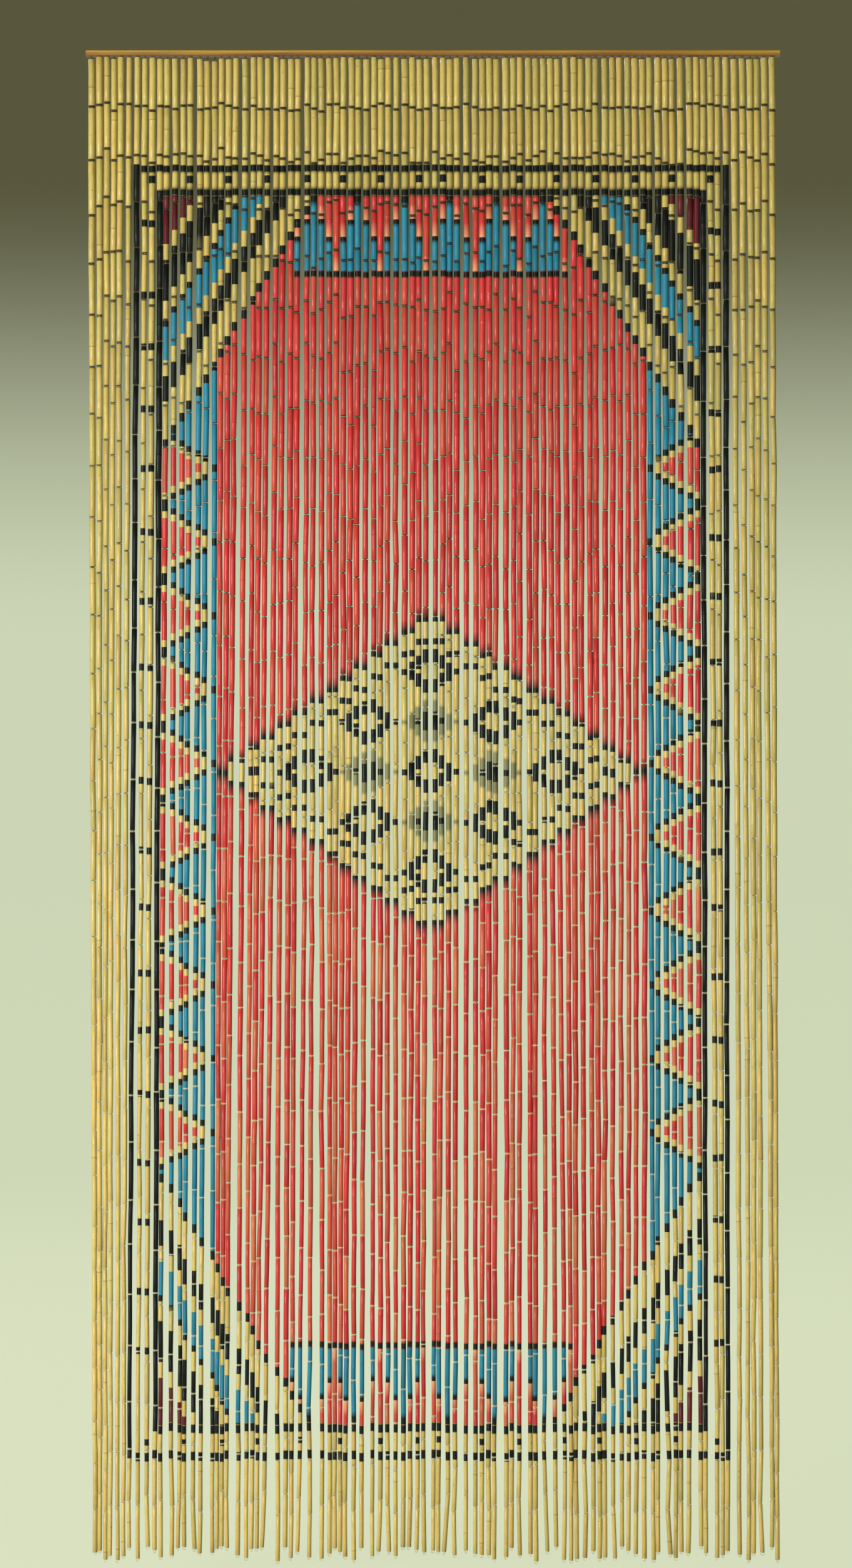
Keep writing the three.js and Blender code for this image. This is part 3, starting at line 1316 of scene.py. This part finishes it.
@dataclass
class Tubes:
    """The bamboo tubes of all strands, joined into pieces of a few strands each.

    The bore's radius, the rounding, the bow and the paint's slip are in millimetres. The taper, the oval and
    the ridge's swell are shares of the radius. Each of a ridge's rings has its distance from the ridge's
    middle and its share of the swell.
    """

    stringing: Stringing
    plan: PaintPlan
    sides: int = 12
    bore: float = 1.4
    rounding: float = 0.35
    # How much of the ends' painted shading and unlacquered finish the rims take.
    rim_cut_share: float = 0.6
    bow: float = 0.3
    oval: float = 0.02
    taper: float = 0.035
    ridged: float = 0.16
    ridge_places: Span = (0.15, 0.85)
    ridge_rings: tuple[Span, ...] = ((-1.6, 0.0), (-0.35, 0.7), (0.0, 1.0), (0.9, 0.0))
    ridge_swell: float = 0.05
    edge_margin: float = 0.2
    least_step: float = 0.12
    strands_to_a_piece: int = 6
    paint_slip: Span = (0.8, 2.6)
    map_wall: Span = (0.03, 0.9)
    map_bore: Place = (0.93, 0.97, 1.0)

    def __post_init__(self) -> None:
        """Works out the unit circle that every ring follows."""
        turns = np.arange(self.sides) * 2 * math.pi / self.sides
        self.circle = np.stack([np.cos(turns), np.sin(turns), np.zeros(self.sides)], axis=-1)

    def slip(self, tube: Tube) -> float:
        """Returns how far down a tube's paint has slipped from its place in the design."""
        fall = -tube.top[2] / (self.stringing.row.beads * self.stringing.row.bead_pitch)
        return spread(tube.strand, Draw.PAINT_SLIP) * mix(*self.paint_slip, fall)

    def wall(self, tube: Tube, painted: PaintedStrand) -> tuple[np.ndarray, np.ndarray, np.ndarray]:
        """Works out the rings of a tube's outer wall.

        Args:
            tube: The tube.
            painted: The stripes of its strand.

        Returns:
            How far down the tube each ring lies, its share of the radius and its share of a node's ridge.
        """
        start, end = self.rounding, tube.length - self.rounding
        edges = painted.edges() + tube.top[2] + self.slip(tube)
        edges = edges[(edges > start + self.edge_margin) & (edges < end - self.edge_margin)]
        rings = [(start, 0.0), (end, 0.0), (tube.length / 3, 0.0), (tube.length * 2 / 3, 0.0)]
        rings += [(edge, 0.0) for edge in edges]
        if chance(tube.key, Draw.HAS_RIDGE) < self.ridged:
            middle = tube.length * mix(*self.ridge_places, chance(tube.key, Draw.RIDGE_HEIGHT))
            rings += [(middle + away, share) for away, share in self.ridge_rings]
        rings.sort()
        kept = [rings[0]]
        for ring in rings[1:-1]:
            if ring[0] - kept[-1][0] > self.least_step:
                kept.append(ring)
        kept.append(rings[-1])
        down = np.array([ring[0] for ring in kept])
        ridge = np.array([ring[1] for ring in kept])
        taper = 1 + spread(tube.key, Draw.TAPER) * self.taper * (down / tube.length - 0.5) * 2
        return down, taper * (1 + ridge * self.ridge_swell), ridge

    def middle_line(self, tube: Tube, along: np.ndarray) -> np.ndarray:
        """Returns the middles of a tube's rings, on its slight bow.

        Args:
            tube: The tube.
            along: How far down the tube each ring lies, from 0 to 1.

        Returns:
            One place for each ring.
        """
        heading = spread(tube.key, Draw.BOW_HEADING) * math.pi
        bend = 4 * along * (1 - along) * self.bow * chance(tube.key, Draw.BOW_SIZE)
        top, foot = np.array(tube.top), np.array(tube.foot)
        middles = top + (foot - top) * along[:, None]
        middles[:, 0] += bend * math.cos(heading)
        middles[:, 1] += bend * math.sin(heading)
        return middles

    def add(self, tube: Tube, arrays: MeshArrays, cell: Cell) -> None:
        """Adds one tube, bored through and with rounded rims, to the arrays.

        The rings run from the top rim down the wall to the foot's rim, and back up through the bore.

        Args:
            tube: The tube.
            arrays: What it is added to.
            cell: Its cell on the piece's flat map.
        """
        painted = self.plan.painted[tube.strand]
        wall_down, wall_share, wall_ridge = self.wall(tube, painted)
        rim = 1 - self.rounding / tube.radius
        bore = self.bore / tube.radius
        length = tube.length
        down = np.concatenate([[0], wall_down, [length, length, 0]])
        share = np.concatenate([[rim * wall_share[0]], wall_share, [rim * wall_share[-1], bore, bore]])
        ridge = np.concatenate([[0], wall_ridge, [0, 0, 0]])
        along = down / length
        oval = [1 + spread(tube.key, draw) * self.oval for draw in (Draw.OVAL_X, Draw.OVAL_Y)]
        section = self.circle * np.array([*oval, 1])
        rings = self.middle_line(tube, along)[:, None, :] + section * (share * tube.radius)[:, None, None]
        colours = painted.colours(down - tube.top[2] - self.slip(tube))
        colours[-2:, 3] = 0
        draws = [chance(tube.key, draw) for draw in (Draw.WARMTH, Draw.VALUE, Draw.GRAIN)]
        cane = np.tile([*draws, 0.0], (len(down), 1))
        # The rims and the cut faces take the ends' painted shading and no lacquer, the rims in part.
        cane[:, 3] = np.concatenate([[self.rim_cut_share], np.zeros(len(wall_down)), [self.rim_cut_share, 1, 1]])
        # The first tube's top end counts as far from an end, so it takes neither chips nor the ends' painted
        # shade.
        near_end = np.minimum(down, length - down) if tube.number else length - down
        wall_start, wall_end = self.map_wall
        ring_v = np.concatenate([wall_start + (wall_end - wall_start) * along[:-2], self.map_bore])
        arrays.add(rings, ring_v, cell, paint=colours, cane=cane, ring=ridge, near_end=near_end)

    def build(self, finish: bpy.types.Material) -> Iterable[bpy.types.Object]:
        """Makes the pieces one after another.

        Args:
            finish: The tubes' material.

        Yields:
            Each piece, which stands for part of the strands' solid.
        """
        row = self.stringing.row
        grid = MapGrid(columns=26, rows=7)
        for first in range(1, row.strands + 1, self.strands_to_a_piece):
            arrays = MeshArrays()
            strands = range(first, min(first + self.strands_to_a_piece, row.strands + 1))
            tubes = [tube for strand in strands for tube in self.stringing.tubes(strand)]
            for index, tube in enumerate(tubes):
                self.add(tube, arrays, grid.cell(index))
            piece = arrays.build(f"tubes_{first:02d}_to_{strands[-1]:02d}")
            piece.data.materials.append(finish)
            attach(piece, "root")
            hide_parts("strands")
            yield piece


@dataclass
class WireWork:
    """The wire that joins the tubes: a link at each joint, a loop at the rail and a loop at each foot.

    Loops are given by their radius, turns and tips in radians, and drops as a share of the radius. Near the
    rail the links are small and upright. Further down they are larger and lie nearly flat.
    """

    stringing: Stringing
    wire: float = 0.27
    link_loop: Span = (1.15, 3.3)
    link_scatter: Span = (0.75, 1.0)
    link_turn: float = 0.5
    link_tip: Span = (1.2, 1.45)
    flat_from: float = 0.3
    hanging_loop: float = 1.7
    hanging_turn: float = 0.6
    hanging_drop: float = 0.6
    foot_loop: float = 2.1
    foot_turn: float = 0.9
    foot_drop: float = 0.75
    end_loop_sides: tuple[int, int] = (12, 5)
    pin_in_tube: float = 5.0
    pin_in_rail: float = 1.0
    pin_at_foot: Span = (3.0, 1.0)
    pin_core: float = 0.2
    strands_to_a_piece: int = 30

    def loop(
        self, middle: Place, radius: float, turn: float, tip: float = 0.0, sides: int = 8, steps: int = 3
    ) -> np.ndarray:
        """Returns a closed ring of wire round a middle.

        Args:
            middle: The ring's middle.
            radius: From the middle to the wire's middle.
            turn: How far the ring is turned about the upright axis, in radians, from facing the front.
            tip: How far it is tipped back before that, in radians: a right angle lays it flat.
            sides: How many straight lengths the ring has.
            steps: How many sides the wire itself has.

        Returns:
            The points, as sides by steps by three.
        """
        around = (np.arange(sides) * 2 * math.pi / sides)[:, None]
        about = (np.arange(steps) * 2 * math.pi / steps)[None, :]
        out = radius + self.wire * np.cos(about)
        across = out * np.cos(around)
        high = out * np.sin(around)
        deep = self.wire * np.sin(about) + 0 * around
        up = high * math.cos(tip) - deep * math.sin(tip)
        through = high * math.sin(tip) + deep * math.cos(tip)
        x = across * math.cos(turn) - through * math.sin(turn)
        y = across * math.sin(turn) + through * math.cos(turn)
        return np.stack([x, y, up], axis=-1) + np.array(middle)

    def pin(self, x: float, y: float, top: float, foot: float) -> np.ndarray:
        """Returns an upright three-sided pin of wire with a fine bore, as a closed loop of rings.

        Args:
            x: Its place along the rail.
            y: Its depth.
            top: The height of its upper end.
            foot: The height of its lower end.

        Returns:
            The points, as four rings by three corners by three.
        """
        wire = self.wire
        corners = ((-wire, -wire), (wire, -wire), (0, wire))
        profile = ((1, top), (1, foot), (self.pin_core, foot), (self.pin_core, top))
        return np.array([[(x + a * share, y + b * share, z) for a, b in corners] for share, z in profile])

    def link(self, strand: int, joint: int) -> np.ndarray:
        """Returns the ring of wire at a joint."""
        key = joint_key(strand, joint)
        fall = joint / self.stringing.row.beads
        radius, tip = self.link_loop[0], 0.0
        if fall > self.flat_from:
            radius = mix(*self.link_loop, fall) * mix(*self.link_scatter, chance(key, Draw.LINK_SIZE))
            tip = mix(*self.link_tip, chance(key, Draw.LINK_TIP))
        turn = spread(key, Draw.LINK_TURN) * self.link_turn
        return self.loop(self.stringing.places[strand][joint], radius, turn, tip)

    def put(self, arrays: MeshArrays, rings: np.ndarray, cell: Cell) -> None:
        """Adds one length of wire to the arrays."""
        arrays.add(rings, np.linspace(0, 1, len(rings) + 1), cell)

    def finished(self, arrays: MeshArrays, name: str, finish: bpy.types.Material) -> bpy.types.Object:
        """Makes a piece of the arrays and says what it stands for."""
        piece = arrays.build(name)
        piece.data.materials.append(finish)
        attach(piece, "root")
        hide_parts("strands")
        return piece

    def links(self, finish: bpy.types.Material) -> Iterable[bpy.types.Object]:
        """Makes the links between the tubes, a third of the strands to a piece.

        Args:
            finish: The wire's material.

        Yields:
            Each piece.
        """
        row = self.stringing.row
        grid = MapGrid(columns=44, rows=40)
        for first in range(1, row.strands + 1, self.strands_to_a_piece):
            arrays = MeshArrays()
            strands = range(first, first + self.strands_to_a_piece)
            joints = [(strand, joint) for strand in strands for joint in range(1, row.beads)]
            for index, (strand, joint) in enumerate(joints):
                x, y, z = self.stringing.places[strand][joint]
                pin = self.pin(x, y, z + self.pin_in_tube, z - self.pin_in_tube)
                self.put(arrays, self.link(strand, joint), grid.cell(2 * index))
                self.put(arrays, pin, grid.cell(2 * index + 1))
            yield self.finished(arrays, f"links_{first:02d}_to_{strands[-1]:02d}", finish)

    def end_loops(self, finish: bpy.types.Material, rail_foot: float) -> Iterable[bpy.types.Object]:
        """Makes the loops that hang the strands from the rail, and those at their feet.

        Args:
            finish: The wire's material.
            rail_foot: The height of the rail's underside.

        Yields:
            The two pieces.
        """
        hangers, feet = MeshArrays(), MeshArrays()
        grid = MapGrid(columns=15, rows=12)
        foot_rise, foot_fall = self.pin_at_foot
        for strand, places in self.stringing.places.items():
            loop_cell, pin_cell = grid.cell(2 * strand - 2), grid.cell(2 * strand - 1)
            x, y, z = places[0]
            eye = (x, y, rail_foot - self.hanging_loop * self.hanging_drop)
            turn = spread(strand, Draw.HANGING_LOOP_TURN) * self.hanging_turn
            self.put(hangers, self.loop(eye, self.hanging_loop, turn, 0.0, *self.end_loop_sides), loop_cell)
            self.put(hangers, self.pin(x, y, rail_foot + self.pin_in_rail, z - self.pin_in_tube), pin_cell)
            x, y, z = places[-1]
            eye = (x, y, z - self.foot_loop * self.foot_drop)
            turn = spread(strand, Draw.FOOT_LOOP_TURN) * self.foot_turn
            self.put(feet, self.loop(eye, self.foot_loop, turn, 0.0, *self.end_loop_sides), loop_cell)
            self.put(feet, self.pin(x, y, z + foot_rise, z - foot_fall), pin_cell)
        yield self.finished(hangers, "hanging_loops", finish)
        yield self.finished(feet, "foot_loops", finish)


@dataclass
class Rail:
    """The batten that the strands hang from, which keeps its solid's shape."""

    node: str = "rail"

    def dress(self, finish: bpy.types.Material) -> bpy.types.Object:
        """Gives the rail its wood and returns it."""
        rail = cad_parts[self.node]
        rail.data.materials[0] = finish
        return rail

    def foot(self) -> float:
        """Returns the height of the rail's underside, in millimetres."""
        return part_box(self.node)[0][2] / MM


# The studio


@dataclass(frozen=True)
class SoftLight:
    """A square area light: where it stands, its side, its power and its colour."""

    name: str
    place: Place
    side: float
    power: float
    colour: Colour = (1.0, 1.0, 1.0)

    def angles(self, target: Place) -> Place:
        """Returns the turn that points the light's own -Z at the target."""
        x, y, z = (end - start for start, end in zip(self.place, target))
        return math.atan2(math.hypot(x, y), -z), 0.0, math.atan2(-x, y)

    def build(self, target: Place) -> None:
        """Adds the light, turned to the target."""
        lamp = bpy.data.lights.new(self.name, "AREA")
        lamp.size = self.side
        lamp.energy = self.power
        lamp.color = self.colour
        holder = bpy.data.objects.new(self.name, lamp)
        holder.location = self.place
        holder.rotation_euler = self.angles(target)
        bpy.context.scene.collection.objects.link(holder)


@dataclass(frozen=True)
class Studio:
    """A plain floor as far below the rail as a doorway's, soft lights and a level camera.

    The frame's size and the rail's left end, right end and top are in pixels, the lens and its sensor are in
    millimetres, and the rest is in metres and watts.
    """

    floor_height: float = -2.032
    floor_radius: float = 60.0
    floor_sides: int = 96
    frame_pixels: tuple[int, int] = (1362, 2506)
    rail_left: float = 137
    rail_right: float = 1247
    rail_top: float = 80
    lens: float = 100.0
    sensor: float = 36.0
    backdrop: Backdrop = Backdrop()
    target: Place = (0.0, 0.0, -1.0)
    lights: tuple[SoftLight, ...] = (
        SoftLight("key", (-2.6, -3.2, -0.85), 1.25, 222, (1.0, 0.985, 0.95)),
        SoftLight("fill", (2.4, -3.4, -0.9), 2.6, 19, (0.95, 0.98, 1.0)),
        SoftLight("back", (-1.4, 3.4, 1.9), 2.0, 120),
        SoftLight("top", (-1.2, -2.0, 1.8), 1.6, 2),
    )

    def build(self) -> None:
        """Builds the floor, the backdrop, the lights and the camera."""
        self.floor()
        self.backdrop.build()
        bpy.context.scene.view_settings.view_transform = "Standard"
        for light in self.lights:
            light.build(self.target)
        self.camera()

    def floor(self) -> None:
        """Lays the floor."""
        bpy.ops.mesh.primitive_circle_add(
            vertices=self.floor_sides,
            radius=self.floor_radius,
            fill_type="NGON",
            location=(0, 0, self.floor_height),
        )
        floor = bpy.context.object
        floor.name = "floor"
        floor.data.materials.append(PlainFloor().material(self.backdrop.horizon))
        floor.visible_diffuse = False
        floor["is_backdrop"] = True

    def camera(self) -> None:
        """Adds a level camera that puts the rail where the frame's pixels say."""
        wide, high = self.frame_pixels
        (left, front, _), (right, _, _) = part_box("rail")
        pixel = (right - left) / (self.rail_right - self.rail_left)
        lens = bpy.data.cameras.new("camera")
        lens.lens = self.lens
        lens.sensor_width = self.sensor
        distance = self.lens / self.sensor * high * pixel
        aside = (wide - self.rail_left - self.rail_right) / 2 * pixel
        holder = bpy.data.objects.new("camera", lens)
        holder.location = (aside, front - distance, (self.rail_top - high / 2) * pixel)
        holder.rotation_euler = (math.pi / 2, 0, 0)
        bpy.context.scene.collection.objects.link(holder)
        bpy.context.scene.camera = holder


# Building


def report(piece: bpy.types.Object) -> None:
    """Logs a piece's name and how many triangles it has."""
    corners = np.empty(len(piece.data.polygons), dtype=int)
    piece.data.polygons.foreach_get("loop_total", corners)
    LOG.info("%s: %d triangles", piece.name, int((corners - 2).sum()))


def write_sizes() -> None:
    boxes = {"cad": CAD_BOX, "visual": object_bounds()}
    plain = {name: [[float(value) for value in corner] for corner in box] for name, box in boxes.items()}


def main() -> None:
    """Builds the studio and the curtain, and reports each piece."""
    logging.basicConfig(level=logging.INFO, format="%(name)s: %(message)s")
    Studio().build()
    stringing = Stringing()
    rail = Rail()
    report(rail.dress(StainedWood().material()))
    for piece in Tubes(stringing, PaintPlan()).build(PaintedCane().material()):
        report(piece)
    wire = LinkWire().material()
    wire_work = WireWork(stringing)
    for piece in wire_work.links(wire):
        report(piece)
    for piece in wire_work.end_loops(wire, rail.foot()):
        report(piece)
    write_sizes()


if __name__ == "__main__":
    main()
